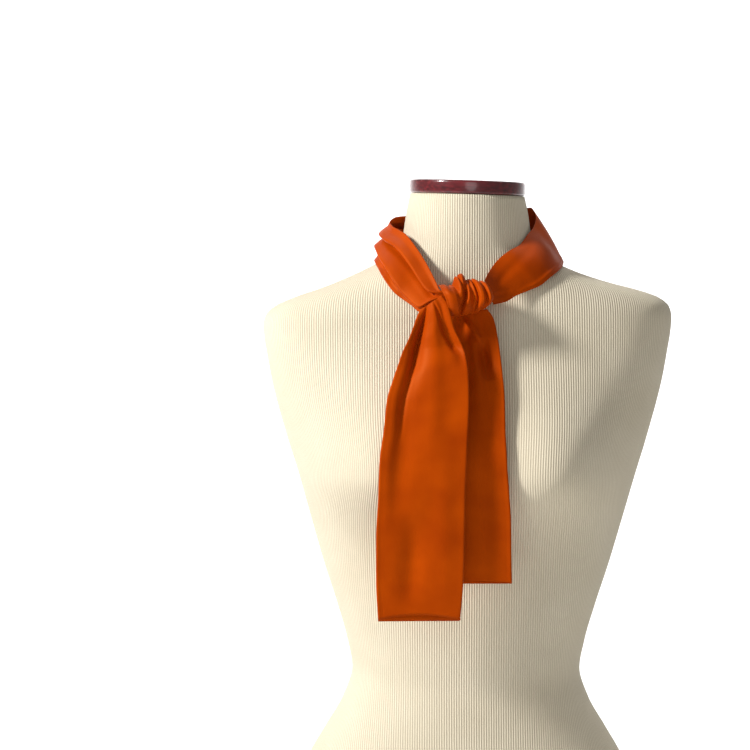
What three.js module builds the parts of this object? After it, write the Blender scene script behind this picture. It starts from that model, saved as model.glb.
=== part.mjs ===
// A silk satin scarf, folded double and knotted at the throat of a limbless dress form.
//
// Millimetres, +Z up. The form's front faces -Y and the wearer's right is -X. The origin is on the
// floor under the middle of the form, which stands on the flat end of its hips.
//
// Every stretch of the scarf is one strip of cloth: a table of stations gives the strip's two long
// edges in space, a section function gives the pleats or the fold across it, and sheetSolid gives
// that surface its thickness.

import * as THREE from 'three';

// ---------------------------------------------------------------- driving sizes

const SILK_WALL = 1.2; // thickness of the modelled silk
const SILK_CLEAR = 1.6; // least distance from the middle of the silk to the form
const LAYER_PITCH = 2.4; // from layer to layer where the scarf hangs folded double
const PLEAT_BEND = 1.2; // how far a pleat's rounded edge stands past its layers

const CAP_HEIGHT = 13; // wooden cap on the neck
const CAP_OVERHANG = 0.6; // the cap is this much wider than the neck under it, all round
const CAP_GAP = 0.4; // between the neck and the cap
const FORM_HEIGHT = 800; // floor to the top of the cap

const BUST_HEIGHT = 34; // how far the bust stands out from the chest
const BUST_HALF_SPACING = 80;
const BUST_LEVEL = 532;
const BUST_HALF_WIDTH = 55;
const BUST_UPPER_REACH = 62;
const BUST_LOWER_REACH = 40;

const FORM_SIDES = 48; // points round the form
const FORM_RING_GAP = 32; // rings are no further apart than this up the form

const TOP_OF_NECK = FORM_HEIGHT - CAP_HEIGHT - CAP_GAP / 2;

// The form, level by level: half its width, how far it reaches in front of and behind the axis, how
// square its outline is (2 is an ellipse), and how much it leans sideways for each millimetre of X.
const FORM_LEVELS = [
  { z: 0, half: 183, front: 94, back: 110, square: 2.25, lean: 0 },
  { z: 50, half: 189, front: 96, back: 117, square: 2.25, lean: 0 },
  { z: 100, half: 191, front: 97, back: 122, square: 2.25, lean: 0 },
  { z: 150, half: 186, front: 97, back: 120, square: 2.25, lean: 0 },
  { z: 200, half: 172, front: 95, back: 110, square: 2.2, lean: 0 },
  { z: 252, half: 149, front: 91, back: 92, square: 2.15, lean: 0 },
  { z: 276, half: 135, front: 88, back: 82, square: 2.1, lean: 0 },
  { z: 306, half: 118, front: 84, back: 72, square: 2.1, lean: 0 },
  { z: 335, half: 109.4, front: 80, back: 66, square: 2.1, lean: 0 },
  { z: 362, half: 114, front: 80, back: 65, square: 2.1, lean: 0 },
  { z: 398, half: 124, front: 81, back: 66, square: 2.2, lean: 0 },
  { z: 438, half: 136.7, front: 82, back: 66, square: 2.25, lean: 0 },
  { z: 478, half: 148, front: 86, back: 71, square: 2.3, lean: 0 },
  { z: 522, half: 160, front: 92, back: 80, square: 2.35, lean: 0 },
  { z: 562, half: 172, front: 95, back: 88, square: 2.4, lean: 0.006 },
  { z: 612, half: 185, front: 88, back: 91, square: 2.5, lean: 0.012 },
  { z: 640, half: 190, front: 80, back: 89, square: 2.6, lean: 0.016 },
  { z: 655, half: 192.5, front: 76, back: 87, square: 2.6, lean: 0.018 },
  { z: 668, half: 193.5, front: 73, back: 84, square: 2.6, lean: 0.02 },
  { z: 678, half: 191, front: 71, back: 81, square: 2.6, lean: 0.022 },
  { z: 686, half: 182, front: 69, back: 79, square: 2.5, lean: 0.022 },
  { z: 693, half: 165, front: 67.5, back: 77, square: 2.45, lean: 0.02 },
  { z: 702, half: 135, front: 66, back: 74, square: 2.4, lean: 0.015 },
  { z: 712, half: 108, front: 65, back: 70, square: 2.3, lean: 0.006 },
  { z: 720, half: 90, front: 64, back: 66, square: 2.2, lean: 0 },
  { z: 726, half: 78, front: 63, back: 62, square: 2.1, lean: -0.005 },
  { z: 732, half: 69, front: 62.5, back: 59, square: 2.05, lean: -0.01 },
  { z: 740, half: 63, front: 62, back: 56, square: 2, lean: -0.02 },
  { z: 750, half: 60.5, front: 61.5, back: 54, square: 2, lean: -0.025 },
  { z: 760, half: 59, front: 61, back: 53, square: 2, lean: -0.03 },
  { z: 770, half: 57.5, front: 60.7, back: 51.5, square: 2, lean: -0.03 },
  { z: 778, half: 56, front: 60.4, back: 50.5, square: 2, lean: -0.03 },
  { z: TOP_OF_NECK, half: 54, front: 60, back: 50, square: 2, lean: -0.03 },
];

// The scarf round the neck, from the knot up the wearer's right side, round the nape and down the
// wearer's left side to the knot. Each station has the strip's upper edge (ux, uy, uz) and lower edge
// (lx, ly, lz), where its two shingled pleats lie as shares of the width, how far each pleat tucks
// under the one above it (negative: it lies open), how far its layers stand apart, and the crown.
const NECK_ROUTE = [
  { ux: -21, uy: -105.4, uz: 698.5, lx: -22.5, ly: -105.6, lz: 692, p1: 0.3, p2: 0.75, tuck: -1.5, step: 0, crown: 0 },
  { ux: -28.8, uy: -98, uz: 700.5, lx: -38, ly: -98, lz: 687, p1: 0.28, p2: 0.8, tuck: -0.5, step: 1.2, crown: 0.5 },
  { ux: -31.5, uy: -92, uz: 706, lx: -47.5, ly: -89, lz: 680.5, p1: 0.27, p2: 0.82, tuck: 2, step: 3.6, crown: 1 },
  { ux: -35.5, uy: -82, uz: 714.5, lx: -55.5, ly: -78, lz: 686.5, p1: 0.27, p2: 0.82, tuck: 4, step: 4, crown: 1.5 },
  { ux: -41, uy: -71, uz: 725, lx: -63, ly: -71, lz: 691.5, p1: 0.27, p2: 0.81, tuck: 4, step: 4, crown: 1.5 },
  { ux: -50, uy: -56, uz: 739, lx: -70.5, ly: -66, lz: 697.5, p1: 0.27, p2: 0.78, tuck: 4, step: 4, crown: 1.5 },
  { ux: -60, uy: -38, uz: 751, lx: -78, ly: -57, lz: 706.5, p1: 0.28, p2: 0.74, tuck: 4, step: 4, crown: 1 },
  { ux: -71, uy: -19, uz: 757.5, lx: -85, ly: -39, lz: 717, p1: 0.3, p2: 0.68, tuck: 4, step: 4.4, crown: 0 },
  { ux: -73.5, uy: -3, uz: 761, lx: -90, ly: -10, lz: 726, p1: 0.31, p2: 0.62, tuck: 4, step: 4.4, crown: 0 },
  { ux: -67, uy: 14, uz: 766, lx: -89, ly: 18, lz: 724, p1: 0.31, p2: 0.62, tuck: 4, step: 4.4, crown: 1 },
  { ux: -53, uy: 37, uz: 767, lx: -76, ly: 48, lz: 717, p1: 0.31, p2: 0.62, tuck: 3, step: 4, crown: 2 },
  { ux: -29, uy: 57, uz: 767, lx: -43, ly: 69, lz: 712.5, p1: 0.32, p2: 0.62, tuck: 0, step: 3, crown: 2 },
  { ux: 0, uy: 64, uz: 767.5, lx: 0, ly: 76, lz: 710.5, p1: 0.33, p2: 0.64, tuck: -4, step: 2, crown: 2 },
  { ux: 29, uy: 57, uz: 770, lx: 43, ly: 69, lz: 711.5, p1: 0.33, p2: 0.66, tuck: -5, step: 1, crown: 2 },
  { ux: 53, uy: 36, uz: 774, lx: 76, ly: 48, lz: 716, p1: 0.33, p2: 0.66, tuck: -5, step: 0, crown: 2 },
  { ux: 61, uy: 15, uz: 775, lx: 89, ly: 20, lz: 723, p1: 0.33, p2: 0.66, tuck: -5, step: 0, crown: 2 },
  { ux: 65, uy: 0, uz: 766, lx: 90.5, ly: -4, lz: 724, p1: 0.33, p2: 0.66, tuck: -5, step: 0, crown: 2 },
  { ux: 62, uy: -14, uz: 757, lx: 88.5, ly: -22, lz: 721, p1: 0.33, p2: 0.66, tuck: -5, step: 0, crown: 2 },
  { ux: 55.5, uy: -30, uz: 750.5, lx: 82.5, ly: -44, lz: 716.5, p1: 0.33, p2: 0.66, tuck: -5, step: 0, crown: 3 },
  { ux: 46, uy: -46, uz: 740, lx: 73.5, ly: -58.5, lz: 710.5, p1: 0.33, p2: 0.66, tuck: -5, step: 0, crown: 3 },
  { ux: 36, uy: -57, uz: 735, lx: 64, ly: -65, lz: 703.5, p1: 0.33, p2: 0.66, tuck: -5, step: 0, crown: 3 },
  { ux: 27, uy: -64, uz: 728.5, lx: 53, ly: -69.5, lz: 699, p1: 0.33, p2: 0.66, tuck: -5, step: 0, crown: 3 },
  { ux: 19.5, uy: -72, uz: 720.5, lx: 41.5, ly: -75, lz: 694.5, p1: 0.33, p2: 0.66, tuck: -4, step: 0, crown: 2 },
  { ux: 14.5, uy: -82, uz: 713.5, lx: 31, ly: -81, lz: 689, p1: 0.33, p2: 0.66, tuck: -3, step: 0, crown: 1 },
  { ux: 11.8, uy: -90.8, uz: 708.8, lx: 20, ly: -89.8, lz: 687, p1: 0.33, p2: 0.66, tuck: -3, step: 0, crown: 0 },
];

// Where the three stretches of the neck band begin and end, as stations of NECK_ROUTE.
const NECK_STRETCHES = [
  { name: 'scarf_neck_right_side', from: 0, to: 9.6, rows: 19 },
  { name: 'scarf_nape', from: 9.62, to: 14.96, rows: 12 },
  { name: 'scarf_neck_left_side', from: 15, to: 24, rows: 14 },
];

// The front tail, from behind the band's end down to its hem: left edge (lx, ly, lz), right edge
// (rx, ry, rz), and the depth of two long troughs that run down from the knot, with their places as
// shares of the width.
const FRONT_TAIL = [
  { lx: -46.5, ly: -79, lz: 684, rx: -32, ry: -90.6, rz: 694, valleyAt: 0.2, valley: 1, grooveAt: 0.78, groove: 1 },
  { lx: -49.5, ly: -83, lz: 676, rx: -30, ry: -94, rz: 688, valleyAt: 0.2, valley: 3, grooveAt: 0.79, groove: 2 },
  { lx: -53, ly: -92, lz: 667, rx: -22, ry: -97, rz: 674, valleyAt: 0.22, valley: 5, grooveAt: 0.8, groove: 3 },
  { lx: -57.5, ly: -100, lz: 656, rx: -15.5, ry: -101, rz: 665, valleyAt: 0.24, valley: 6, grooveAt: 0.84, groove: 4 },
  { lx: -62.3, ly: -106, lz: 646, rx: -10.2, ry: -105, rz: 654, valleyAt: 0.25, valley: 6, grooveAt: 0.88, groove: 4 },
  { lx: -66.5, ly: -110, lz: 634, rx: -6, ry: -110, rz: 642, valleyAt: 0.25, valley: 6, grooveAt: 0.92, groove: 2 },
  { lx: -71.5, ly: -115, lz: 620, rx: -3.8, ry: -115, rz: 625, valleyAt: 0.24, valley: 4, grooveAt: 0.93, groove: 0 },
  { lx: -76.7, ly: -119, lz: 603, rx: -3.4, ry: -119, rz: 604, valleyAt: 0.22, valley: 3, grooveAt: 0.93, groove: 0 },
  { lx: -79.5, ly: -124, lz: 577, rx: -4.4, ry: -124, rz: 577, valleyAt: 0.2, valley: 1, grooveAt: 0.93, groove: 0 },
  { lx: -83.4, ly: -127.5, lz: 548, rx: -5.8, ry: -127.5, rz: 548, valleyAt: 0.2, valley: 0, grooveAt: 0.9, groove: 0 },
  { lx: -84.7, ly: -128, lz: 514, rx: -7.1, ry: -128, rz: 514, valleyAt: 0.3, valley: 0, grooveAt: 0.8, groove: 0 },
  { lx: -86.5, ly: -128, lz: 478, rx: -7.4, ry: -128, rz: 478, valleyAt: 0.4, valley: 1, grooveAt: 0.8, groove: 0 },
  { lx: -86.5, ly: -127, lz: 442, rx: -8.2, ry: -127, rz: 442, valleyAt: 0.4, valley: 1, grooveAt: 0.8, groove: 0 },
  { lx: -84.6, ly: -126, lz: 409, rx: -11, ry: -126, rz: 409.5, valleyAt: 0.4, valley: 0, grooveAt: 0.8, groove: 0 },
];

// The back tail, the same way. It comes out under the knot and hangs behind the front tail.
const BACK_TAIL = [
  { lx: -20, ly: -83, lz: 671.5, rx: 14.5, ry: -84, rz: 682.3, valleyAt: 0.35, valley: 2, grooveAt: 0.7, groove: 1 },
  { lx: -24, ly: -85, lz: 665, rx: 20.3, ry: -84, rz: 673, valleyAt: 0.4, valley: 4, grooveAt: 0.7, groove: 1 },
  { lx: -28, ly: -88, lz: 655, rx: 24, ry: -87, rz: 657, valleyAt: 0.45, valley: 5, grooveAt: 0.75, groove: 1 },
  { lx: -32, ly: -91, lz: 643, rx: 26.3, ry: -90, rz: 641, valleyAt: 0.5, valley: 5, grooveAt: 0.75, groove: 2 },
  { lx: -35, ly: -96, lz: 625, rx: 28.3, ry: -96, rz: 622, valleyAt: 0.5, valley: 2, grooveAt: 0.75, groove: 2 },
  { lx: -38, ly: -103, lz: 602, rx: 29.6, ry: -103, rz: 602, valleyAt: 0.5, valley: 0, grooveAt: 0.75, groove: 1 },
  { lx: -40.5, ly: -111.5, lz: 575, rx: 30, ry: -111, rz: 575, valleyAt: 0.5, valley: 0, grooveAt: 0.75, groove: 0 },
  { lx: -41.5, ly: -118, lz: 548, rx: 31.2, ry: -116, rz: 548, valleyAt: 0.5, valley: 0, grooveAt: 0.75, groove: 0 },
  { lx: -42, ly: -117.5, lz: 521, rx: 33.1, ry: -116, rz: 521, valleyAt: 0.5, valley: 0, grooveAt: 0.75, groove: 0 },
  { lx: -41.5, ly: -116.5, lz: 494, rx: 35, ry: -115.5, rz: 494, valleyAt: 0.5, valley: 0, grooveAt: 0.75, groove: 0 },
  { lx: -41, ly: -116, lz: 458, rx: 35.7, ry: -115, rz: 458, valleyAt: 0.5, valley: 0, grooveAt: 0.75, groove: 0 },
  { lx: -40.5, ly: -115, lz: 437, rx: 36.2, ry: -114.5, rz: 437, valleyAt: 0.5, valley: 0, grooveAt: 0.75, groove: 0 },
];

// The knot is one strip wrapped round a level core that runs along X, gathered into lobes. Each row
// is one place across the strip (0 is its hem, on the wearer's right): how far the wrap stands above,
// in front of, below and behind the core's axis.
const KNOT_AXIS = { y: -91, z: 694 };
const KNOT_EDGES = [
  // turn is the angle up from straight ahead; left and right are the X of the strip's two edges
  { turn: -150, left: -15, right: 11 },
  { turn: -90, left: -17.5, right: 11 },
  { turn: 0, left: -24, right: 19 },
  { turn: 45, left: -28, right: 16 },
  { turn: 90, left: -30, right: 11 },
  { turn: 150, left: -25, right: 9 },
];
const KNOT_LOBES = [
  { share: 0, above: 10.4, front: 18.3, below: 17, behind: 14 },
  { share: 0.1, above: 11, front: 20, below: 18, behind: 15 },
  { share: 0.22, above: 10, front: 21, below: 18, behind: 16 },
  { share: 0.3, above: 15, front: 18, below: 17, behind: 16 },
  { share: 0.4, above: 20, front: 19, below: 16.5, behind: 16 },
  { share: 0.5, above: 21, front: 17, below: 16, behind: 16 },
  { share: 0.6, above: 15, front: 13, below: 15, behind: 16 },
  { share: 0.7, above: 17, front: 17, below: 15, behind: 16 },
  { share: 0.8, above: 16, front: 18, below: 13.5, behind: 16 },
  { share: 0.88, above: 14, front: 15, below: 12, behind: 16 },
  { share: 0.95, above: 14, front: 15.5, below: 11, behind: 15 },
  { share: 1, above: 12.5, front: 13, below: 10, behind: 13 },
];
const KNOT_TURNS = 20; // steps round the core
const KNOT_SHARES = 20; // steps across the strip

// ---------------------------------------------------------------- smooth tables

// A smooth curve through one column of a table that never overshoots its rows (monotone cubic).
function columnCurve(rows, keyOf, column) {
  const keys = rows.map(keyOf);
  const values = rows.map((row) => row[column]);
  const last = rows.length - 1;
  const rise = values.slice(1).map((value, i) => (value - values[i]) / (keys[i + 1] - keys[i]));
  const slopes = values.map((_, i) => {
    if (i === 0) return rise[0];
    if (i === last) return rise[last - 1];
    if (rise[i - 1] * rise[i] <= 0) return 0;
    const before = keys[i] - keys[i - 1];
    const after = keys[i + 1] - keys[i];
    const near = 2 * after + before;
    const far = after + 2 * before;
    return (near + far) / (near / rise[i - 1] + far / rise[i]);
  });
  return (key) => {
    const at = THREE.MathUtils.clamp(key, keys[0], keys[last]);
    let i = 0;
    while (i < last - 1 && at > keys[i + 1]) i += 1;
    const span = keys[i + 1] - keys[i];
    const t = (at - keys[i]) / span;
    return (
      values[i] * (1 + 2 * t) * (1 - t) ** 2 +
      values[i + 1] * t * t * (3 - 2 * t) +
      slopes[i] * span * t * (1 - t) ** 2 -
      slopes[i + 1] * span * t * t * (1 - t)
    );
  };
}

// All the columns of a table as one function: give it a key, get a row.
function smoothTable(rows, keyOf) {
  const columns = Object.keys(rows[0]);
  const curves = columns.map((column) => columnCurve(rows, keyOf, column));
  return (key) => Object.fromEntries(columns.map((column, i) => [column, curves[i](key)]));
}

const byStation = (row, index) => index;
const formLevel = smoothTable(FORM_LEVELS, (row) => row.z);
const neckStation = smoothTable(NECK_ROUTE, byStation);
const frontTailStation = smoothTable(FRONT_TAIL, byStation);
const backTailStation = smoothTable(BACK_TAIL, byStation);
const knotEdges = smoothTable(KNOT_EDGES, (row) => row.turn);
const knotLobes = smoothTable(KNOT_LOBES, (row) => row.share);

// ---------------------------------------------------------------- the form's surface

const bell = (distance, reach) => Math.exp(-((distance / reach) ** 2));

// How far the bust stands in front of the plain chest.
function bust(x, z) {
  const reach = z > BUST_LEVEL ? BUST_UPPER_REACH : BUST_LOWER_REACH;
  const sides = bell(x - BUST_HALF_SPACING, BUST_HALF_WIDTH) + bell(x + BUST_HALF_SPACING, BUST_HALF_WIDTH);
  return BUST_HEIGHT * bell(z - BUST_LEVEL, reach) * sides;
}

// Rises from zero at the form's surface, outwards.
function formField(point) {
  const level = point.z - formLevel(point.z).lean * point.x;
  const { half, front, back, square } = formLevel(level);
  const depth = point.y < 0 ? front : back;
  const y = point.y < 0 ? Math.min(0, point.y + bust(point.x, level)) : point.y;
  const share = (Math.abs(point.x) / half) ** square + (Math.abs(y) / depth) ** square;
  return (share ** (1 / square) - 1) * Math.min(half, depth);
}

// Moves a point of the silk straight out until it clears the form.
function keepClear(point) {
  const step = 0.2;
  for (let pass = 0; pass < 3; pass += 1) {
    const field = formField(point);
    const slope = new THREE.Vector3(
      formField(point.clone().setX(point.x + step)) - field,
      formField(point.clone().setY(point.y + step)) - field,
      formField(point.clone().setZ(point.z + step)) - field,
    ).divideScalar(step);
    const away = field / slope.length();
    if (away >= SILK_CLEAR) break;
    point.addScaledVector(slope.normalize(), SILK_CLEAR - away);
  }
  return point;
}

// ---------------------------------------------------------------- solids

function solidGeometry(points, triangles) {
  const geometry = new THREE.BufferGeometry();
  const flat = points.flatMap((point) => [point.x, point.y, point.z]);
  geometry.setAttribute('position', new THREE.Float32BufferAttribute(flat, 3));
  geometry.setIndex(triangles);
  geometry.computeVertexNormals();
  return geometry;
}

// Rings of points, lowest first, closed by a flat fan at each end.
function ringLoft(rings) {
  const sides = rings[0].length;
  const points = rings.flat();
  const triangles = [];
  for (let ring = 0; ring < rings.length - 1; ring += 1) {
    for (let i = 0; i < sides; i += 1) {
      const a = ring * sides + i;
      const b = ring * sides + ((i + 1) % sides);
      triangles.push(a, b, b + sides, a, b + sides, a + sides);
    }
  }
  const middle = (ring) => ring.reduce((sum, point) => sum.add(point), new THREE.Vector3()).divideScalar(sides);
  const floor = points.push(middle(rings[0])) - 1;
  const roof = points.push(middle(rings[rings.length - 1])) - 1;
  const top = (rings.length - 1) * sides;
  for (let i = 0; i < sides; i += 1) {
    const next = (i + 1) % sides;
    triangles.push(floor, next, i, roof, top + i, top + next);
  }
  return solidGeometry(points, triangles);
}

// A surface given as rows of points, thickened by half the wall to each side and closed at its rim.
function sheetSolid(grid) {
  const rows = grid.length;
  const columns = grid[0].length;
  const at = (i, j) => grid[THREE.MathUtils.clamp(i, 0, rows - 1)][THREE.MathUtils.clamp(j, 0, columns - 1)];
  const face = [];
  const lining = [];
  for (let i = 0; i < rows; i += 1) {
    for (let j = 0; j < columns; j += 1) {
      const along = at(i + 1, j).clone().sub(at(i - 1, j));
      const across = at(i, j + 1).clone().sub(at(i, j - 1));
      const offset = along.cross(across).setLength(SILK_WALL / 2);
      face.push(at(i, j).clone().add(offset));
      lining.push(at(i, j).clone().sub(offset));
    }
  }
  const triangles = [];
  const quad = (a, b, c, d) => triangles.push(a, b, c, a, c, d);
  const id = (i, j) => i * columns + j;
  const inner = face.length;
  for (let i = 0; i < rows - 1; i += 1) {
    for (let j = 0; j < columns - 1; j += 1) {
      quad(id(i, j), id(i + 1, j), id(i + 1, j + 1), id(i, j + 1));
      quad(inner + id(i, j), inner + id(i, j + 1), inner + id(i + 1, j + 1), inner + id(i + 1, j));
    }
  }
  for (let i = 0; i < rows - 1; i += 1) {
    const [left, right] = [id(i, 0), id(i, columns - 1)];
    quad(left, inner + left, inner + left + columns, left + columns);
    quad(right, right + columns, inner + right + columns, inner + right);
  }
  for (let j = 0; j < columns - 1; j += 1) {
    const [first, last] = [id(0, j), id(rows - 1, j)];
    quad(first, first + 1, inner + first + 1, inner + first);
    quad(last, inner + last, inner + last + 1, last + 1);
  }
  return solidGeometry(face.concat(lining), triangles);
}

// ---------------------------------------------------------------- dress form and cap

function formRing(z, { half, front, back, square, lean }, swell) {
  const power = 2 / square;
  return Array.from({ length: FORM_SIDES }, (_, i) => {
    const angle = (2 * Math.PI * i) / FORM_SIDES;
    const [c, s] = [Math.cos(angle), Math.sin(angle)];
    const x = half * Math.sign(c) * Math.abs(c) ** power;
    const y = (s < 0 ? front : back) * Math.sign(s) * Math.abs(s) ** power;
    const out = s < 0 ? swell * bust(x, z) * Math.min(1, 3 * Math.abs(s)) : 0;
    return new THREE.Vector3(x, y - out, z + lean * x);
  });
}

// A ring at each level of the table, and more between levels that lie far apart.
function dressForm() {
  const levels = FORM_LEVELS.slice(1).flatMap(({ z }, i) => {
    const below = FORM_LEVELS[i].z;
    const steps = Math.ceil((z - below) / FORM_RING_GAP);
    return Array.from({ length: steps }, (_, step) => below + ((z - below) * step) / steps);
  });
  return ringLoft([...levels, TOP_OF_NECK].map((z) => formRing(z, formLevel(z), 1)));
}

function neckCap() {
  const neck = formLevel(TOP_OF_NECK);
  const underside = TOP_OF_NECK + CAP_GAP;
  // height above the cap's underside, and how far the rim is drawn in there
  const profile = [
    { up: 0, drawn: 1.4 },
    { up: 1.3, drawn: 0 },
    { up: CAP_HEIGHT - 2.5, drawn: 0 },
    { up: CAP_HEIGHT - 1, drawn: 0.7 },
    { up: CAP_HEIGHT - 0.3, drawn: 2.5 },
  ];
  const rings = profile.map(({ up, drawn }) => {
    const grow = CAP_OVERHANG - drawn;
    const outline = { ...neck, half: neck.half + grow, front: neck.front + grow, back: neck.back + grow };
    return formRing(underside + up, outline, 0);
  });
  return ringLoft(rings);
}

// ---------------------------------------------------------------- strips of silk

// The frame of a strip at one station: its upper or left edge, the way across and the way out.
function stripFrame(edgesAt, station) {
  const step = 0.05;
  const { edge, across } = edgesAt(station);
  const before = edgesAt(station - step);
  const after = edgesAt(station + step);
  const middle = (side) => side.edge.clone().addScaledVector(side.across, 0.5);
  const run = middle(after).sub(middle(before));
  const out = run.cross(across).normalize();
  const width = across.length();
  return { edge, across: across.clone().normalize(), out, width };
}

function stripGrid(edgesAt, section, from, to, rows) {
  return Array.from({ length: rows + 1 }, (_, i) => {
    const station = from + ((to - from) * i) / rows;
    const { edge, across, out, width } = stripFrame(edgesAt, station);
    return section(station, width).map(({ a, b, drop = 0 }) => {
      const point = edge.clone().addScaledVector(across, a).addScaledVector(out, b);
      point.z -= drop;
      return keepClear(point);
    });
  });
}

function neckEdges(station) {
  const row = neckStation(station);
  const edge = new THREE.Vector3(row.ux, row.uy, row.uz);
  return { edge, across: new THREE.Vector3(row.lx, row.ly, row.lz).sub(edge) };
}

// Two shingled knife pleats: every layer starts under the one above it and ends on top of the next.
function neckSection(station, width) {
  const { p1, p2, tuck, step, crown } = neckStation(station);
  const turn = THREE.MathUtils.clamp(tuck, -PLEAT_BEND, PLEAT_BEND);
  const pleat = (place) => [
    { a: place + tuck - PLEAT_BEND, b: step / 2 },
    { a: place + tuck, b: step / 4 },
    { a: place + tuck - turn, b: 0 },
    { a: place - tuck + turn, b: 0 },
    { a: place - tuck, b: -step / 4 },
    { a: place - tuck + PLEAT_BEND, b: -step / 2 },
  ];
  const [first, second] = [p1 * width, p2 * width];
  return [
    { a: 0, b: 0 },
    { a: first / 2, b: crown / 2 },
    ...pleat(first),
    { a: (first + second) / 2, b: crown },
    ...pleat(second),
    { a: width, b: -step / 4 },
  ];
}

function tailEdges(stationOf) {
  return (station) => {
    const row = stationOf(station);
    const edge = new THREE.Vector3(row.lx, row.ly, row.lz);
    return { edge, across: new THREE.Vector3(row.rx, row.ry, row.rz).sub(edge) };
  };
}

// The scarf folded double lengthwise: out along the front layer, round the soft fold, back behind it.
// foldSide is 1 for a fold on the right edge and -1 for one on the left.
function tailSection(stationOf, foldSide, hemDrop) {
  const flatSteps = 8;
  const bendSteps = 3;
  const radius = LAYER_PITCH / 2;
  return (station, width) => {
    const row = stationOf(station);
    const last = station / (stationOf.last ?? 1);
    const flatWidth = width - radius;
    const trough = (share) =>
      -row.valley * bell(share - row.valleyAt, 0.11) - row.groove * bell(share - row.grooveAt, 0.08);
    const place = (fromHem, layer) => {
      const a = foldSide > 0 ? fromHem : width - fromHem;
      return { a, b: layer * radius + trough(a / width) };
    };
    const points = [];
    for (let i = 0; i <= flatSteps; i += 1) points.push(place((flatWidth * i) / flatSteps, 1));
    for (let i = 1; i < bendSteps; i += 1) {
      const angle = Math.PI * (i / bendSteps);
      points.push(place(flatWidth + radius * Math.sin(angle), Math.cos(angle)));
    }
    for (let i = flatSteps; i >= 0; i -= 1) {
      points.push({ ...place((flatWidth * i) / flatSteps, -1), drop: hemDrop * last ** 6 });
    }
    return foldSide > 0 ? points : points.reverse();
  };
}

function frontTail() {
  const last = FRONT_TAIL.length - 1;
  const stationOf = Object.assign((station) => frontTailStation(station), { last });
  const section = tailSection(stationOf, 1, 5);
  return sheetSolid(stripGrid(tailEdges(stationOf), section, 0, last, 18));
}

function backTail() {
  const last = BACK_TAIL.length - 1;
  const stationOf = Object.assign((station) => backTailStation(station), { last });
  const section = tailSection(stationOf, -1, 1.5);
  return sheetSolid(stripGrid(tailEdges(stationOf), section, 0, last, 16));
}

// ---------------------------------------------------------------- knot

function knot() {
  const first = KNOT_EDGES[0].turn;
  const sweep = KNOT_EDGES[KNOT_EDGES.length - 1].turn - first;
  const grid = Array.from({ length: KNOT_TURNS + 1 }, (_, i) => {
    const turn = first + (sweep * i) / KNOT_TURNS;
    const angle = THREE.MathUtils.degToRad(turn);
    const { left, right } = knotEdges(turn);
    return Array.from({ length: KNOT_SHARES + 1 }, (__, j) => {
      const share = j / KNOT_SHARES;
      const { above, front, below, behind } = knotLobes(share);
      const [c, s] = [Math.cos(angle), Math.sin(angle)];
      return keepClear(new THREE.Vector3(
        left + (right - left) * share,
        KNOT_AXIS.y - (c > 0 ? front : behind) * c,
        KNOT_AXIS.z + (s > 0 ? above : below) * s,
      ));
    });
  });
  return sheetSolid(grid);
}

// ---------------------------------------------------------------- the model

const knit = new THREE.MeshStandardMaterial({ color: 0xf2e8cf, roughness: 0.9, metalness: 0 });
const cherry = new THREE.MeshStandardMaterial({ color: 0x4a0d14, roughness: 0.25, metalness: 0 });
const silk = new THREE.MeshStandardMaterial({
  color: 0xd9490a,
  roughness: 0.35,
  metalness: 0,
  side: THREE.DoubleSide,
});

function piece(name, geometry, material) {
  const mesh = new THREE.Mesh(geometry, material.clone());
  mesh.name = name;
  return mesh;
}

const model = new THREE.Group();
model.add(piece('dress_form', dressForm(), knit));
model.add(piece('neck_cap', neckCap(), cherry));
for (const { name, from, to, rows } of NECK_STRETCHES) {
  model.add(piece(name, sheetSolid(stripGrid(neckEdges, neckSection, from, to, rows)), silk));
}
model.add(piece('scarf_knot', knot(), silk));
model.add(piece('scarf_front_tail', frontTail(), silk));
model.add(piece('scarf_back_tail', backTail(), silk));

export default model;
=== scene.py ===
# %% [markdown]
# A silk satin scarf on a dress form. The scarf is one narrow length of orange silk, folded double
# lengthwise, wound once round the neck and tied in a half knot with both ends hanging in front.
# The frame gives the plain solids and their places. This script gives every piece its fine shape
# and its finish. Sizes in the tables are millimetres, and MM turns them into Blender's metres.

import math

import bmesh
import bpy
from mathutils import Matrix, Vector


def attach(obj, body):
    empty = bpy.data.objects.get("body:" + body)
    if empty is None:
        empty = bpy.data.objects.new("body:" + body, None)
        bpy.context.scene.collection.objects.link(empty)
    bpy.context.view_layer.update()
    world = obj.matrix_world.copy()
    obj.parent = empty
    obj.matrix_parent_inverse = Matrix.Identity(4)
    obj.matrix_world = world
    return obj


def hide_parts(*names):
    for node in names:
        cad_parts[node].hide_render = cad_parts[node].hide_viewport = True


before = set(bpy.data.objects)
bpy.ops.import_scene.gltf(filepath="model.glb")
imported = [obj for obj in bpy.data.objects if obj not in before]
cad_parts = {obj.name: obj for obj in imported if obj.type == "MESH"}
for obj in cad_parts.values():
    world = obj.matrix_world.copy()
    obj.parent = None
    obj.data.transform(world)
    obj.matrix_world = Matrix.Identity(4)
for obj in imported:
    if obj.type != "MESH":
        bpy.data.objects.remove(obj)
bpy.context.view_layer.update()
MM = 0.001

# %% [markdown]
# The camera is set before anything else is made. It is a long lens about 1.9 m in front of the form,
# a little to the wearer's right and just below the top of the neck, tipped down by a few degrees.
# From so far off, the form's upright lines stay parallel, and depth of field is left off so that
# every fold is sharp.

# %% Camera
CAMERA_PLACE = Vector((-0.0874, -1.903, 0.768))
CAMERA_TIP_DOWN = math.radians(4.57)
CAMERA_LENS = 96.14

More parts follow.
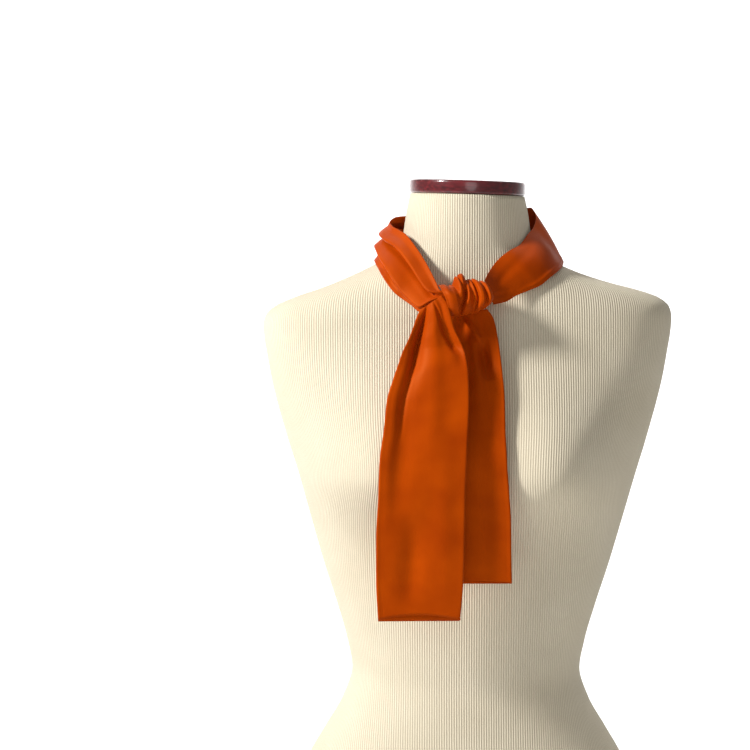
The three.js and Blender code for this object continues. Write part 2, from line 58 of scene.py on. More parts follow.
camera_data = bpy.data.cameras.new("camera")
camera_data.lens = CAMERA_LENS
camera_data.sensor_width = 36
camera = bpy.data.objects.new("camera", camera_data)
camera.location = CAMERA_PLACE
camera.rotation_euler = (math.pi / 2 - CAMERA_TIP_DOWN, 0, 0)
bpy.context.collection.objects.link(camera)
bpy.context.scene.camera = camera
print("camera lens", camera_data.lens)

# %% [markdown]
# A table row is one level of the form or one station of the cloth. Between rows every column runs
# along a smooth curve that never overshoots, so a few given rows give a whole fair surface.


# %% Smooth tables
def column_curve(keys, values):
    """A monotone cubic through the values: give it a key, get the value there."""
    last = len(keys) - 1
    rise = [(values[i + 1] - values[i]) / (keys[i + 1] - keys[i]) for i in range(last)]
    slopes = [rise[0]] + [0.0] * (last - 1) + [rise[-1]]
    for i in range(1, last):
        if rise[i - 1] * rise[i] > 0:
            before, after = keys[i] - keys[i - 1], keys[i + 1] - keys[i]
            near, far = 2 * after + before, after + 2 * before
            slopes[i] = (near + far) / (near / rise[i - 1] + far / rise[i])

    def value_at(key):
        at = min(max(key, keys[0]), keys[last])
        i = 0
        while i < last - 1 and at > keys[i + 1]:
            i += 1
        span = keys[i + 1] - keys[i]
        t = (at - keys[i]) / span
        return (
            values[i] * (1 + 2 * t) * (1 - t) ** 2
            + values[i + 1] * t * t * (3 - 2 * t)
            + slopes[i] * span * t * (1 - t) ** 2
            - slopes[i + 1] * span * t * t * (1 - t)
        )

    return value_at


class SmoothTable:
    """Rows of numbers under named columns, read at any key by its first column or its row number."""

    def __init__(self, names, rows, by_row=False):
        self.names = names.split()
        self.last = len(rows) - 1
        keys = list(range(len(rows))) if by_row else [row[0] for row in rows]
        self.curves = [column_curve(keys, list(column)) for column in zip(*rows)]

    def at(self, key):
        return {name: curve(key) for name, curve in zip(self.names, self.curves)}


def bell(distance, reach):
    return math.exp(-((distance / reach) ** 2))


def blend(a, b, t):
    return a + (b - a) * t


hill = SmoothTable("key value", [(0, 0), (1, 1), (3, 0)])
print("a table with a peak of 1, read a little before it:", round(hill.at(0.8)["value"], 3))

# %% [markdown]
# The dress form is a padded shell under a cream ribbed jersey cover. Its outline is a squared ellipse
# at every level, and two soft swellings make the bust. It could be sculpted, but as a formula the same
# surface can be used three times: for the cover itself, to run the ribs, and to keep the silk clear.

# %% Surface of the form
CAP_HEIGHT = 13.0
CAP_GAP = 0.4
TOP_OF_NECK = 800 - CAP_HEIGHT - CAP_GAP / 2
BUST_HEIGHT = 34.0
BUST_HALF_SPACING = 80.0
BUST_LEVEL = 532.0
BUST_HALF_WIDTH = 55.0
BUST_UPPER_REACH = 62.0
BUST_LOWER_REACH = 40.0
BUST_FADE = 3
FAR_FROM_COVER = 25.0
PROBE_STEP = 0.2

FORM = SmoothTable(
    "z half front back square lean",
    [
        (0, 183, 94, 110, 2.25, 0),
        (50, 189, 96, 117, 2.25, 0),
        (100, 191, 97, 122, 2.25, 0),
        (150, 186, 97, 120, 2.25, 0),
        (200, 172, 95, 110, 2.2, 0),
        (252, 149, 91, 92, 2.15, 0),
        (276, 135, 88, 82, 2.1, 0),
        (306, 118, 84, 72, 2.1, 0),
        (335, 109.4, 80, 66, 2.1, 0),
        (362, 114, 80, 65, 2.1, 0),
        (398, 124, 81, 66, 2.2, 0),
        (438, 136.7, 82, 66, 2.25, 0),
        (478, 148, 86, 71, 2.3, 0),
        (522, 160, 92, 80, 2.35, 0),
        (562, 172, 95, 88, 2.4, 0.006),
        (612, 185, 88, 91, 2.5, 0.012),
        (640, 190, 80, 89, 2.6, 0.016),
        (655, 192.5, 76, 87, 2.6, 0.018),
        (668, 193.5, 73, 84, 2.6, 0.02),
        (678, 191, 71, 81, 2.6, 0.022),
        (686, 182, 69, 79, 2.5, 0.022),
        (693, 165, 67.5, 77, 2.45, 0.02),
        (702, 135, 66, 74, 2.4, 0.015),
        (712, 108, 65, 70, 2.3, 0.006),
        (720, 90, 64, 66, 2.2, 0),
        (726, 78, 63, 62, 2.1, -0.005),
        (732, 69, 62.5, 59, 2.05, -0.01),
        (740, 63, 62, 56, 2, -0.02),
        (750, 60.5, 61.5, 54, 2, -0.025),
        (760, 59, 61, 53, 2, -0.03),
        (770, 57.5, 60.7, 51.5, 2, -0.03),
        (778, 56, 60.4, 50.5, 2, -0.03),
        (TOP_OF_NECK, 54, 60, 50, 2, -0.03),
    ],
)


def bust(x, z):
    reach = BUST_UPPER_REACH if z > BUST_LEVEL else BUST_LOWER_REACH
    sides = bell(x - BUST_HALF_SPACING, BUST_HALF_WIDTH) + bell(x + BUST_HALF_SPACING, BUST_HALF_WIDTH)
    return BUST_HEIGHT * bell(z - BUST_LEVEL, reach) * sides


def form_point(row, z, turn):
    """The point of the cover at one level, turn radians round from the wearer's left."""
    power = 2 / row["square"]
    c, s = math.cos(turn), math.sin(turn)
    x = row["half"] * math.copysign(abs(c) ** power, c)
    depth = row["front"] if s < 0 else row["back"]
    y = depth * math.copysign(abs(s) ** power, s)
    if s < 0:
        y -= bust(x, z) * min(1, BUST_FADE * abs(s))
    return Vector((x, y, z + row["lean"] * x))


def form_field(x, y, z):
    """Rises from zero at the cover, outwards."""
    level = z - FORM.at(z)["lean"] * x
    row = FORM.at(level)
    depth = row["front"] if y < 0 else row["back"]
    if y < 0:
        y = min(0, y + bust(x, level))
    square = row["square"]
    share = (abs(x) / row["half"]) ** square + (abs(y) / depth) ** square
    return (share ** (1 / square) - 1) * min(row["half"], depth)


def keep_clear(point, clear):
    """Moves a point of the silk straight out until it clears the cover."""
    for _ in range(2):
        field = form_field(*point)
        if field > FAR_FROM_COVER:
            break
        slope = Vector((
            form_field(point.x + PROBE_STEP, point.y, point.z) - field,
            form_field(point.x, point.y + PROBE_STEP, point.z) - field,
            form_field(point.x, point.y, point.z + PROBE_STEP) - field,
        )) / PROBE_STEP
        away = field / slope.length
        if away >= clear:
            break
        point = point + slope.normalized() * (clear - away)
    return point


print("half width at the shoulders", FORM.at(668)["half"], "mm, at the waist", FORM.at(335)["half"], "mm")

# %% [markdown]
# Each sheet starts as a flat grid from bmesh, which is then bent onto its surface row by row. A cloth
# simulation could drop it into place, but a tied scarf holds folds that a table can set one by one.
# The UV map keeps where each point lay on the flat cloth, in metres, so that ribs and weave follow it,
# and a vertex group marks the hems.


# %% Grid helper
def finish_mesh(bm, name, material):
    mesh = bpy.data.meshes.new(name)
    bm.to_mesh(mesh)
    bm.free()
    mesh.materials.append(material)
    for polygon in mesh.polygons:
        polygon.use_smooth = True
    piece = bpy.data.objects.new(name, mesh)
    bpy.context.collection.objects.link(piece)
    print(name, len(mesh.polygons), "faces")
    return piece


def bent_grid(rows):
    """A bmesh grid laid through rows of (point, (u, v), hem) in millimetres."""
    down, across = len(rows) - 1, len(rows[0]) - 1
    bm = bmesh.new()
    bmesh.ops.create_grid(bm, x_segments=down, y_segments=across, size=0.5)
    cloth = bm.loops.layers.uv.new("cloth")
    margin = bm.verts.layers.deform.verify()
    places = {}
    for vert in bm.verts:
        i = round((vert.co.x + 0.5) * down)
        j = round((vert.co.y + 0.5) * across)
        places[vert] = rows[i][j]
    for face in bm.faces:
        for loop in face.loops:
            u, v = places[loop.vert][1]
            loop[cloth].uv = (u * MM, v * MM)
    for vert, (point, _, hem) in places.items():
        vert.co = point * MM
        vert[margin][0] = hem
    return bm


print("made the grid helpers")

# %% [markdown]
# Three finishes follow, each on a Principled shader. Short helpers make and link the nodes, so that
# each material reads as a list of what goes into it.

# %% Node helpers
def new_material(name):
    material = bpy.data.materials.new(name)
    material.use_nodes = True
    tree = material.node_tree
    return material, tree, tree.nodes["Principled BSDF"]


def node(tree, kind, settings=None, **inputs):
    made = tree.nodes.new(kind)
    for key, value in (settings or {}).items():
        setattr(made, key, value)
    for key, value in inputs.items():
        socket = made.inputs[key.replace("_", " ")]
        if isinstance(value, bpy.types.NodeSocket):
            tree.links.new(value, socket)
        else:
            socket.default_value = value
    return made


def colour_ramp(tree, factor, stops):
    ramp = tree.nodes.new("ShaderNodeValToRGB")
    elements = ramp.color_ramp.elements
    while len(elements) < len(stops):
        elements.new(0.5)
    for element, (place, colour) in zip(elements, stops):
        element.position = place
        element.color = (*colour, 1)
    tree.links.new(factor, ramp.inputs["Fac"])
    return ramp.outputs["Color"]


print("made the node helpers")

# %% [markdown]
# Silk satin is woven with long floats that lie side by side, so it shines in a broad soft glow. An
# anisotropic shader could show that, but at this size a fairly rough surface with an orange tint in
# its highlight looks the same and stays simple. A slow noise drifts the colour, a faster one puckers
# the surface, and a very fine wave in the bump is the twill. All of it follows the UV map.

# %% Silk satin
SILK_LIT = (0.52, 0.064, 0.0006)
SILK_DEEP = (0.38, 0.040, 0.0004)

silk, tree, shader = new_material("orange silk satin")
uv = node(tree, "ShaderNodeUVMap", {"uv_map": "cloth"}).outputs["UV"]
drift = node(tree, "ShaderNodeTexNoise", Vector=uv, Scale=22.0, Detail=2.0).outputs["Fac"]
tree.links.new(colour_ramp(tree, drift, [(0.3, SILK_DEEP), (0.7, SILK_LIT)]), shader.inputs["Base Color"])
twill_map = node(tree, "ShaderNodeMapping", Vector=uv)
twill_map.inputs["Rotation"].default_value = (0, 0, math.radians(28))
twill = node(
    tree, "ShaderNodeTexWave", {"wave_type": "BANDS"}, Vector=twill_map.outputs["Vector"], Scale=420.0,
    Distortion=1.5,
).outputs["Fac"]
pucker = node(tree, "ShaderNodeTexNoise", Vector=uv, Scale=55.0, Detail=3.0).outputs["Fac"]
fine = node(tree, "ShaderNodeBump", Height=twill, Strength=0.08, Distance=0.0002).outputs["Normal"]
soft = node(tree, "ShaderNodeBump", Height=pucker, Strength=0.25, Distance=0.0012, Normal=fine)
tree.links.new(soft.outputs["Normal"], shader.inputs["Normal"])
SATIN_TINT = (1.0, 0.36, 0.05, 1)
shader.inputs["Roughness"].default_value = 0.5
shader.inputs["Specular IOR Level"].default_value = 0.22
shader.inputs["Specular Tint"].default_value = SATIN_TINT
shader.inputs["Sheen Weight"].default_value = 0.04
shader.inputs["Sheen Roughness"].default_value = 0.5
shader.inputs["Sheen Tint"].default_value = SATIN_TINT
print("made", silk.name)

# %% [markdown]
# The cover is matt cotton jersey with upright ribs. Ribs this fine could be cut into the mesh, but
# they would take millions of faces, so a wave on the UV map draws them as bump, and the valleys
# between them get painted shade, a darker cream. Noise adds the knit's flecks and a faint cloudiness.

# %% Ribbed jersey
RIB_PITCH = 2.3

jersey, tree, shader = new_material("cream ribbed jersey")
uv = node(tree, "ShaderNodeUVMap", {"uv_map": "cloth"}).outputs["UV"]
ribs = node(
    tree, "ShaderNodeTexWave", {"wave_type": "BANDS", "bands_direction": "X"}, Vector=uv,
    Scale=math.pi / (10 * RIB_PITCH * MM), Distortion=0.0,
).outputs["Fac"]
stitch_map = node(tree, "ShaderNodeMapping", Vector=uv)
stitch_map.inputs["Scale"].default_value = (1, 1.4, 1)
knit_noise = node(
    tree, "ShaderNodeTexNoise", Vector=stitch_map.outputs["Vector"], Scale=900.0, Detail=2.0
).outputs["Fac"]
cloud = node(tree, "ShaderNodeTexNoise", Vector=uv, Scale=14.0, Detail=3.0).outputs["Fac"]
# Painted shade: the rib valleys are coloured a darker cream than the rib tops.
rib_painted_shade = colour_ramp(tree, ribs, [(0.0, (0.66, 0.57, 0.41)), (0.5, (0.88, 0.80, 0.63))])
fleck = colour_ramp(tree, knit_noise, [(0.3, (0.88, 0.86, 0.82)), (0.7, (1, 1, 1))])
flecked = node(tree, "ShaderNodeMix", {"data_type": "RGBA", "blend_type": "MULTIPLY"})
flecked.inputs["Factor"].default_value = 1
tree.links.new(rib_painted_shade, flecked.inputs["A"])
tree.links.new(fleck, flecked.inputs["B"])
tone = colour_ramp(tree, cloud, [(0.3, (0.94, 0.93, 0.91)), (0.7, (1, 1, 1))])
toned = node(tree, "ShaderNodeMix", {"data_type": "RGBA", "blend_type": "MULTIPLY"})
toned.inputs["Factor"].default_value = 1
tree.links.new(flecked.outputs["Result"], toned.inputs["A"])
tree.links.new(tone, toned.inputs["B"])
tree.links.new(toned.outputs["Result"], shader.inputs["Base Color"])
loops = node(tree, "ShaderNodeBump", Height=knit_noise, Strength=0.2, Distance=0.0003).outputs["Normal"]
ridge = node(tree, "ShaderNodeBump", Height=ribs, Strength=0.7, Distance=0.0006, Normal=loops)
tree.links.new(ridge.outputs["Normal"], shader.inputs["Normal"])
shader.inputs["Roughness"].default_value = 0.9
shader.inputs["Specular IOR Level"].default_value = 0.2
shader.inputs["Sheen Weight"].default_value = 0.15
print("made", jersey.name)

# %% [markdown]
# The neck cap is stained cherry under a gloss lacquer. A noise stretched along X by a Mapping node is
# the grain, which colours the wood and dents it a little, and the shader's coat is the lacquer.

# %% Cherry wood
cherry, tree, shader = new_material("dark cherry lacquer")
place = node(tree, "ShaderNodeTexCoord").outputs["Object"]
grain_map = node(tree, "ShaderNodeMapping", Vector=place)
grain_map.inputs["Scale"].default_value = (6, 60, 60)
grain = node(
    tree, "ShaderNodeTexNoise", Vector=grain_map.outputs["Vector"], Scale=6.0, Detail=5.0
).outputs["Fac"]
wood_colour = colour_ramp(tree, grain, [(0.3, (0.055, 0.003, 0.005)), (0.7, (0.17, 0.012, 0.016))])
tree.links.new(wood_colour, shader.inputs["Base Color"])
pores = node(tree, "ShaderNodeBump", Height=grain, Strength=0.08, Distance=0.0003).outputs["Normal"]
tree.links.new(pores, shader.inputs["Normal"])
shader.inputs["Roughness"].default_value = 0.28
shader.inputs["Coat Weight"].default_value = 0.7
shader.inputs["Coat Roughness"].default_value = 0.12
print("made", cherry.name)

# %% [markdown]
# The cover goes all the way round with its seam hidden at the centre back. Its ribs run straight up
# from the centre front, so the UV map counts the distance round each level from there. The grid's two
# side edges meet at the back, where they are merged, and the two open ends are filled.

# %% Dress form cover
FORM_TURNS = 256
FORM_ROWS = 190


def cover_rows():
    rows = []
    for i in range(FORM_ROWS + 1):
        z = TOP_OF_NECK * i / FORM_ROWS
        row = FORM.at(z)
        turns = [math.pi / 2 - 2 * math.pi * j / FORM_TURNS for j in range(FORM_TURNS + 1)]
        points = [form_point(row, z, turn) for turn in turns]
        around = [0.0]
        for a, b in zip(points, points[1:]):
            around.append(around[-1] + (b - a).length)
        front = around[FORM_TURNS // 2]
        rows.append([(p, (s - front, z), 0.0) for p, s in zip(points, around)])
    return rows


bm = bent_grid(cover_rows())
bmesh.ops.remove_doubles(bm, verts=bm.verts, dist=1e-6)
bmesh.ops.holes_fill(bm, edges=[edge for edge in bm.edges if edge.is_boundary])
bmesh.ops.recalc_face_normals(bm, faces=bm.faces)
cover = finish_mesh(bm, "form_cover", jersey)
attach(cover, "root")
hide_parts("dress_form")

# %% [markdown]
# The cap is turned wood: a disc raised from a circle, with its rims rounded by a bevel, then squeezed
# to the neck's outline and tipped with it.

# %% Neck cap
CAP_OVERHANG = 0.6
CAP_TOP_DROP = 0.3
CAP_ROUNDING = 2.2


def is_rim(edge):
    return len(edge.link_faces) == 2 and any(len(face.verts) > 4 for face in edge.link_faces)


bm = bmesh.new()
ring = bmesh.ops.create_circle(bm, cap_ends=True, segments=160, radius=1.0)
raised = bmesh.ops.extrude_face_region(bm, geom=list(bm.faces))
lifted = [part for part in raised["geom"] if isinstance(part, bmesh.types.BMVert)]
bmesh.ops.translate(bm, verts=lifted, vec=(0, 0, 1))
bmesh.ops.recalc_face_normals(bm, faces=bm.faces)
neck = FORM.at(TOP_OF_NECK)
for vert in bm.verts:
    depth = (neck["front"] if vert.co.y < 0 else neck["back"]) + CAP_OVERHANG
    x = vert.co.x * (neck["half"] + CAP_OVERHANG)
    height = TOP_OF_NECK + CAP_GAP + vert.co.z * (CAP_HEIGHT - CAP_TOP_DROP)
    vert.co = Vector((x, vert.co.y * depth, height + neck["lean"] * x)) * MM
rims = [edge for edge in bm.edges if is_rim(edge)]
bmesh.ops.bevel(
    bm, geom=rims, offset=CAP_ROUNDING * MM, offset_type="OFFSET", segments=5, profile=0.5,
    affect="EDGES", material=-1, clamp_overlap=True,
)
cap = finish_mesh(bm, "wooden_cap", cherry)
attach(cap, "root")
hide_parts("neck_cap")

# %% [markdown]
# A strip of silk has two long edges in space, one row of the table for each station along it. The
# section across it is drawn as a short line of corners, which is then evened out and softened, as
# thin cloth rounds every fold. Creases are added as long soft ridges and troughs, each with its own
# course. Real silk is far thinner than it can be shown, so Solidify gives it about a third of a
# millimetre, and three times that in the rolled hems.


# %% Strip helpers
THIN_SHARE = 0.34


def evened(points, count):
    """The same line with its points spread evenly along it."""
    lengths = [0.0]
    for (a0, b0), (a1, b1) in zip(points, points[1:]):
        lengths.append(lengths[-1] + math.hypot(a1 - a0, b1 - b0))
    spread, i = [], 0
    for k in range(count + 1):
        at = lengths[-1] * k / count
        while i < len(points) - 2 and lengths[i + 1] < at:
            i += 1
        span = max(lengths[i + 1] - lengths[i], 1e-9)
        t = min(max((at - lengths[i]) / span, 0), 1)
        (a0, b0), (a1, b1) = points[i], points[i + 1]
        spread.append((blend(a0, a1, t), blend(b0, b1, t)))
    return spread, lengths[-1]


def softened(points, passes):
    for _ in range(passes):
        inner = [
            ((p[0] + 2 * q[0] + r[0]) / 4, (p[1] + 2 * q[1] + r[1]) / 4)
            for p, q, r in zip(points, points[1:], points[2:])
        ]
        points = [points[0], *inner, points[-1]]
    return points


def crease_height(creases, station, share):
    """Height added at a place by all creases, each of which fades in and out along its course."""
    total = 0.0
    for begin, end, share0, share1, height, width in creases:
        if begin < station < end:
            t = (station - begin) / (end - begin)
            course = blend(share0, share1, t)
            total += height * math.sin(math.pi * t) ** 0.8 * bell(share - course, width)
    return total


def strip_frame(table, station, names):
    def edges(at):
        row = table.at(at)
        first = Vector([row[name] for name in names[:3]])
        second = Vector([row[name] for name in names[3:]])
        return first, second

    a, b = edges(station)
    before, after = edges(max(station - 0.05, 0)), edges(min(station + 0.05, table.last))
    run = (after[0] + after[1]) / 2 - (before[0] + before[1]) / 2
    across = b - a
    out = run.cross(across).normalized()
    return a, across.normalized(), out, across.length, (a + b) / 2


def add_shell(piece, thickness):
    """Gives the sheet its thickness: full at the rolled hems, a third of it elsewhere."""
    group = piece.vertex_groups.new(name="hem")
    shell = piece.modifiers.new("thickness", "SOLIDIFY")
    shell.thickness = thickness * MM
    shell.offset = 0
    shell.vertex_group = group.name
    shell.thickness_vertex_group = THIN_SHARE
    return piece


print("made the strip helpers")


# %% [markdown]
# Round the neck the folded silk is gathered by two knife pleats on the wearer's right, each layer
# lying over the next like shingles. Towards the nape they open out, and the wearer's left side is one
# broad smooth panel that rolls under at its lower edge. The rows start at the knot's right end, go up
# over the wearer's right shoulder, round the nape and down the left side to the knot again. Each row
# has the upper edge, the lower edge, the places of the two pleats as shares of the width, how far a
# pleat tucks under, how far its layers stand apart, and how much the whole width bulges.

# %% Neck band's route
NECK_NAMES = "ux uy uz lx ly lz p1 p2 tuck step crown"
NECK = SmoothTable(
    NECK_NAMES,
    [
        (-21, -95, 698.5, -22.5, -95, 692, 0.3, 0.75, -1.5, 0, 0),
        (-28.8, -93, 700.5, -38, -92, 687, 0.28, 0.8, -0.5, 1.2, 0.5),
        (-31.5, -89, 706, -47.5, -86, 680.5, 0.27, 0.82, 2, 3.6, 1),
        (-35.5, -82, 714.5, -55.5, -78, 686.5, 0.27, 0.82, 4, 4, 1.5),
        (-41, -71, 725, -63, -71, 691.5, 0.27, 0.81, 4, 4, 1.5),
        (-50, -56, 739, -70.5, -66, 697.5, 0.27, 0.78, 4, 4, 1.5),
        (-60, -38, 751, -78, -57, 706.5, 0.28, 0.74, 4, 4, 1),
        (-71, -19, 757.5, -85, -39, 717, 0.3, 0.68, 4, 4.4, 0),
        (-73.5, -3, 761, -90, -10, 726, 0.31, 0.62, 4, 4.4, 0),
        (-67, 14, 766, -89, 18, 724, 0.31, 0.62, 4, 4.4, 1),
        (-53, 37, 767, -76, 48, 717, 0.31, 0.62, 3, 4, 2),
        (-29, 57, 767, -43, 69, 712.5, 0.32, 0.62, 0, 3, 2),
        (0, 64, 767.5, 0, 76, 710.5, 0.33, 0.64, -4, 2, 2),
        (29, 57, 770, 43, 69, 711.5, 0.33, 0.66, -5, 1, 2),
        (53, 36, 774, 76, 48, 716, 0.33, 0.66, -5, 0, 2),
        (61, 15, 775, 89, 20, 723, 0.33, 0.66, -5, 0, 2),
        (65, 0, 766, 90.5, -4, 724, 0.33, 0.66, -5, 0, 2),
        (62, -14, 757, 88.5, -22, 721, 0.33, 0.66, -5, 0, 2),
        (55.5, -30, 750.5, 82.5, -44, 716.5, 0.33, 0.66, -5, 0, 4),
        (46, -46, 740, 73.5, -58.5, 710.5, 0.33, 0.66, -5, 0, 5),
        (36, -57, 735, 64, -65, 703.5, 0.33, 0.66, -5, 0, 5),
        (27, -64, 728.5, 53, -69.5, 699, 0.33, 0.66, -5, 0, 4),
        (19.5, -72, 720.5, 41.5, -75, 694.5, 0.33, 0.66, -4, 0, 2),
        (14.5, -82, 713.5, 31, -81, 689, 0.33, 0.66, -3, 0, 1),
        (11.8, -90.8, 708.8, 20, -89.8, 687, 0.33, 0.66, -3, 0, 0),
    ],
    by_row=True,
)
print("neck band rows", NECK.last + 1)

# %% Neck band's creases and pleats
NECK_CREASES = [
    # from row, to row, share of the width at each, height (below zero is a trough), half width as a share
    (1.5, 8, 0.55, 0.5, -1.0, 0.06),
    (0.5, 6, 0.9, 0.94, 1.2, 0.03),
    (3, 10, 0.14, 0.16, 1.2, 0.08),
    (0.6, 10, 0.44, 0.42, -3.0, 0.05),
    (10, 15.5, 0.5, 0.45, -1.6, 0.09),
    (11, 15, 0.8, 0.75, 1.2, 0.06),
    (15, 22, 0.92, 0.94, 1.0, 0.05),
    (18, 23.9, 0.2, 0.5, -0.9, 0.12),
    (22, 23.9, 0.8, 0.7, -0.8, 0.08),
]
PLEAT_LIFT = 2.0
PLEAT_BEND = 1.2
NECK_ACROSS = 84


def pleat_corners(place, tuck, step):
    turn = min(max(tuck, -PLEAT_BEND), PLEAT_BEND)
    return [
        (place + tuck - PLEAT_BEND, step / 2),
        (place + tuck, step / 4),
        (place + tuck - turn, 0),
        (place - tuck + turn, 0),
        (place - tuck, -step / 4),
        (place - tuck + PLEAT_BEND, -step / 2),
    ]


def neck_section(row, width):
    first, second = row["p1"] * width, row["p2"] * width
    step = row["step"] * PLEAT_LIFT
    corners = [(0, 0), (first / 2, 0)]
    corners += pleat_corners(first, row["tuck"], step)
    corners += [((first + second) / 2, 0)]
    corners += pleat_corners(second, row["tuck"], step)
    corners += [(width, -step / 4)]
    line, length = evened(corners, NECK_ACROSS)
    domed = []
    for a, b in softened(line, 2):
        share = min(max(a / width, 0), 1)
        domed.append((a, b + row["crown"] * math.sin(math.pi * share)))
    return domed, length


for place in (4, 20):
    print("cloth across the neck band at row", place, round(neck_section(NECK.at(place), 50)[1], 1), "mm")

# %% [markdown]
# The band is laid station by station. Any point that would sink into the form is moved straight out
# until it clears the cover, so the silk hugs the neck and the shoulders without cutting into them.

# %% Neck band
NECK_ROWS = 250
NECK_HEM_FROM = 0.965
NECK_SHELL = 1.1
SILK_CLEAR = 1.1


def neck_rows():
    rows, run, last_middle = [], 0.0, None
    for i in range(NECK_ROWS + 1):
        station = NECK.last * i / NECK_ROWS
        edge, across, out, width, middle = strip_frame(NECK, station, NECK_NAMES.split()[:6])
        run += (middle - last_middle).length if last_middle else 0.0
        last_middle = middle
        line, length = neck_section(NECK.at(station), width)
        points = []
        for j, (a, b) in enumerate(line):
            share = j / NECK_ACROSS
            b += crease_height(NECK_CREASES, station, share)
            point = keep_clear(edge + across * a + out * b, SILK_CLEAR)
            hem = 1.0 if share > NECK_HEM_FROM else 0.0
            points.append((point, (run, share * length), hem))
        rows.append(points)
    return rows


neck_band = add_shell(finish_mesh(bent_grid(neck_rows()), "neck_band", silk), NECK_SHELL)
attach(neck_band, "root")
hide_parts("scarf_neck_right_side", "scarf_nape", "scarf_neck_left_side")

# %% [markdown]
# Each tail is the folded scarf hanging free: front layer, soft fold, back layer. The front tail fans
# out over the band's end, and its hems lie on the wearer's right. The back tail hangs behind it with
# its hems on the wearer's left. Both swing off the waist. Each row has the left edge, the right edge,
# and the place and depth of a valley and of a narrower groove.

# %% Tails' routes
TAIL_NAMES = "lx ly lz rx ry rz valley_at valley groove_at groove"
FRONT_TAIL = SmoothTable(
    TAIL_NAMES,
    [
        (-45.5, -98, 683, -27, -107, 696, 0.3, 1, 0.78, 1),
        (-49.5, -100, 676, -22.5, -107, 689, 0.26, 3, 0.79, 2),
        (-53, -102, 667, -18.5, -106, 676, 0.24, 5, 0.8, 3),
        (-57.5, -104, 656, -15.5, -105, 665, 0.24, 6, 0.84, 4),
        (-62.3, -106, 646, -10.2, -105, 654, 0.25, 6, 0.88, 4),
        (-66.5, -110, 634, -6, -110, 642, 0.25, 6, 0.92, 2),
        (-71.5, -115, 620, -3.8, -115, 625, 0.24, 4, 0.93, 0),
        (-76.7, -119, 603, -3.4, -119, 604, 0.22, 3, 0.93, 0),
        (-79.5, -124, 577, -4.4, -124, 577, 0.2, 1, 0.93, 0),
        (-83.4, -127.5, 548, -5.8, -127.5, 548, 0.2, 0, 0.9, 0),
        (-84.7, -128, 514, -7.1, -128, 514, 0.3, 0, 0.8, 0),
        (-86.5, -128, 478, -7.4, -128, 478, 0.4, 1, 0.8, 0),
        (-86.5, -127, 442, -8.2, -127, 442, 0.4, 1, 0.8, 0),
        (-84.6, -126, 405, -11, -126, 405.5, 0.4, 0, 0.8, 0),
    ],
    by_row=True,
)
BACK_TAIL = SmoothTable(
    TAIL_NAMES,
    [
        (-20, -84, 676.3, 14.5, -84, 682.8, 0.35, 2, 0.7, 1),
        (-24, -85, 668, 20.3, -84, 674, 0.4, 4, 0.7, 1),
        (-28, -88, 655, 24, -87, 657, 0.45, 5, 0.75, 1),
        (-32, -91, 643, 26.3, -90, 641, 0.5, 5, 0.75, 2),
        (-35, -96, 625, 28.3, -96, 622, 0.5, 2, 0.75, 2),
        (-38, -103, 602, 29.6, -103, 602, 0.5, 0, 0.75, 1),
        (-40.5, -111.5, 575, 30, -111, 575, 0.5, 0, 0.75, 0),
        (-41.5, -118, 548, 31.2, -116, 548, 0.5, 0, 0.75, 0),
        (-42, -117.5, 521, 33.1, -116, 521, 0.5, 0, 0.75, 0),
        (-41.5, -116.5, 494, 35, -115.5, 494, 0.5, 0, 0.75, 0),
        (-41, -116, 458, 35.7, -115, 458, 0.5, 0, 0.75, 0),
        (-40.5, -115, 437, 36.2, -114.5, 437, 0.5, 0, 0.75, 0),
    ],
    by_row=True,
)
print("front tail drops", FRONT_TAIL.at(0)["lz"] - FRONT_TAIL.at(FRONT_TAIL.last)["lz"], "mm")
print("back tail drops", round(BACK_TAIL.at(0)["lz"] - BACK_TAIL.at(BACK_TAIL.last)["lz"], 1), "mm")

# %% Tails' creases
# Each row is as in the neck band's list.
FRONT_CREASES = [
    (0.1, 8.5, 0.24, 0.19, -4.2, 0.035),
    (0.05, 4.8, 0.6, 0.86, -3.2, 0.035),
    (2, 10, 0.5, 0.62, 1.6, 0.12),
    (5, 11, 0.1, 0.1, 1.5, 0.08),
    (7, 10.5, 0.3, 0.2, -2.6, 0.14),
    (8, 13, 0.75, 0.8, 1.2, 0.12),
    (10.3, 12.8, 0.5, 0.34, -2.4, 0.15),
    (0.2, 5, 0.55, 0.6, 1.4, 0.1),
]
BACK_CREASES = [
    (2.0, 4.2, 0.7, 0.8, -6.5, 0.11),
    (0.8, 2.9, 0.45, 0.8, 3.5, 0.06),
    (3.4, 6, 0.66, 0.72, 2.5, 0.12),
    (0.05, 4.5, 0.28, 0.3, -4.0, 0.12),
    (5, 11, 0.8, 0.85, -1.2, 0.1),
    (6, 11, 0.62, 0.66, 1.2, 0.08),
]
print("creases", len(FRONT_CREASES), "in front and", len(BACK_CREASES), "behind")

# %% [markdown]
# A tail's section could be two separate sheets, but one line that runs down the front layer, round the
# fold and back along the other keeps the cloth whole, as the real one is. At the bottom the front layer
# arches up and the back layer hangs a little lower, so both hems show.

# %% Tails
LAYER_PITCH = 2.4
TAIL_ROWS = 150
TAIL_FLAT = 44
TAIL_BEND = 8
VALLEY_WIDTH = 0.11
GROOVE_WIDTH = 0.08
DROP_POWER = 8
ARCH_POWER = 14
HEM_WIDTH = 2.2
END_HEM_FROM = 0.994
TAIL_SHELL = 1.0


